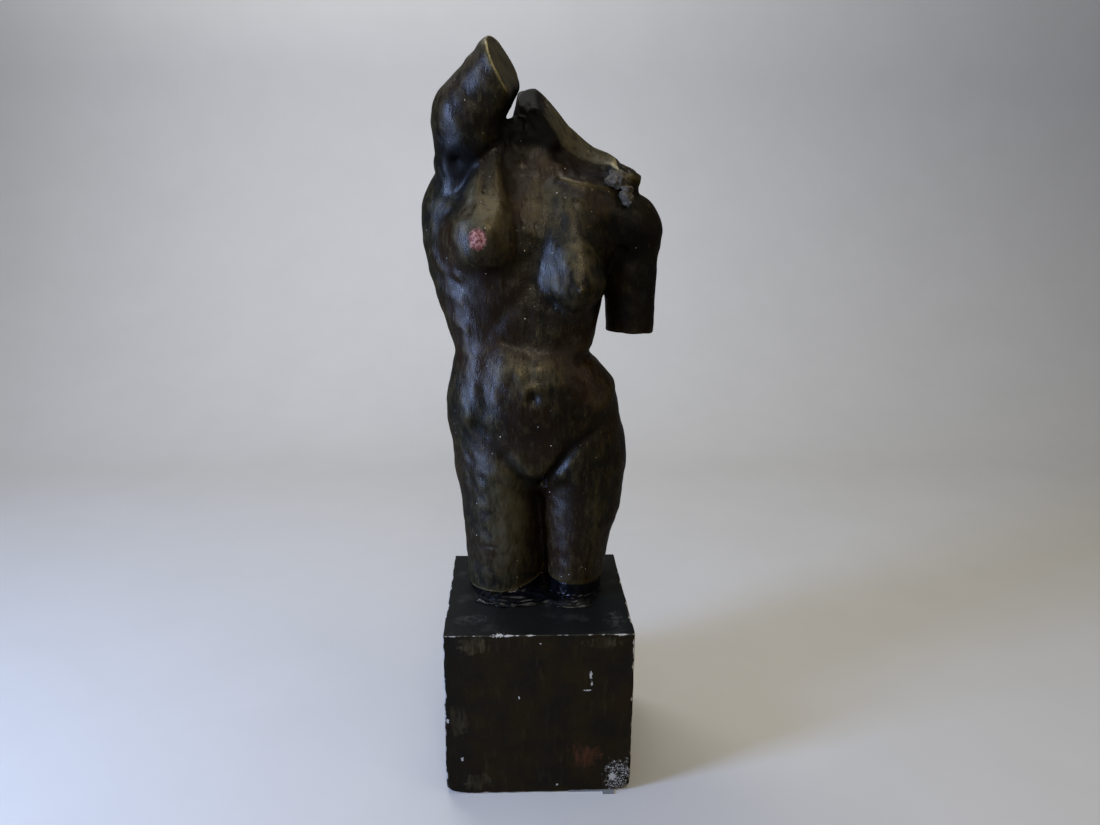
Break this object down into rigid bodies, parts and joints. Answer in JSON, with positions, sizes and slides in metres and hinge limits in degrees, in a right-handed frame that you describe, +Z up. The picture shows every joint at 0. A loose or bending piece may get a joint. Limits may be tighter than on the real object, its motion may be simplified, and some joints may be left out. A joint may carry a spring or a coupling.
{
  "type": "plaster torso cast on plinth",
  "caption": "Headless standing figure torso in bronze-painted plaster, arms and thighs cut short, bedded and bolted on a square hollow plinth; for drawing and anatomy study.",
  "frame": {"origin": "centre of the plinth's underside, on the surface it stands on", "axes": "+Z up through the figure, -Y the way the figure faces, +X the figure's own left"},
  "size_m": [0.2334, 0.196, 0.7031],
  "materials": {
    "bronzed_plaster": "bronze-painted plaster, waxed, semi-gloss, worn",
    "painted_plinth": "dark brown painted plaster, satin, scuffed and chipped",
    "bedding_plaster": "trowelled plaster under glossy dark paint",
    "raw_plaster": "bare cast plaster, matte",
    "zinc_steel": "zinc-plated",
    "repair_putty": "rough grey filler, matte",
    "clear_sheet": "clear sheet, slightly cloudy"
  },
  "bodies": {
    "root": {"plinth_shell": "painted_plinth", "thigh_bedding": "bedding_plaster", "torso_shell": "bronzed_plaster", "right_thigh_plug": "raw_plaster", "left_thigh_plug": "raw_plaster", "right_thigh_rod": "zinc_steel", "left_thigh_rod": "zinc_steel", "rod_washers": "zinc_steel", "rod_nuts": "zinc_steel", "shoulder_putty": "repair_putty", "corner_shim": "clear_sheet"}
  },
  "joints": []
}
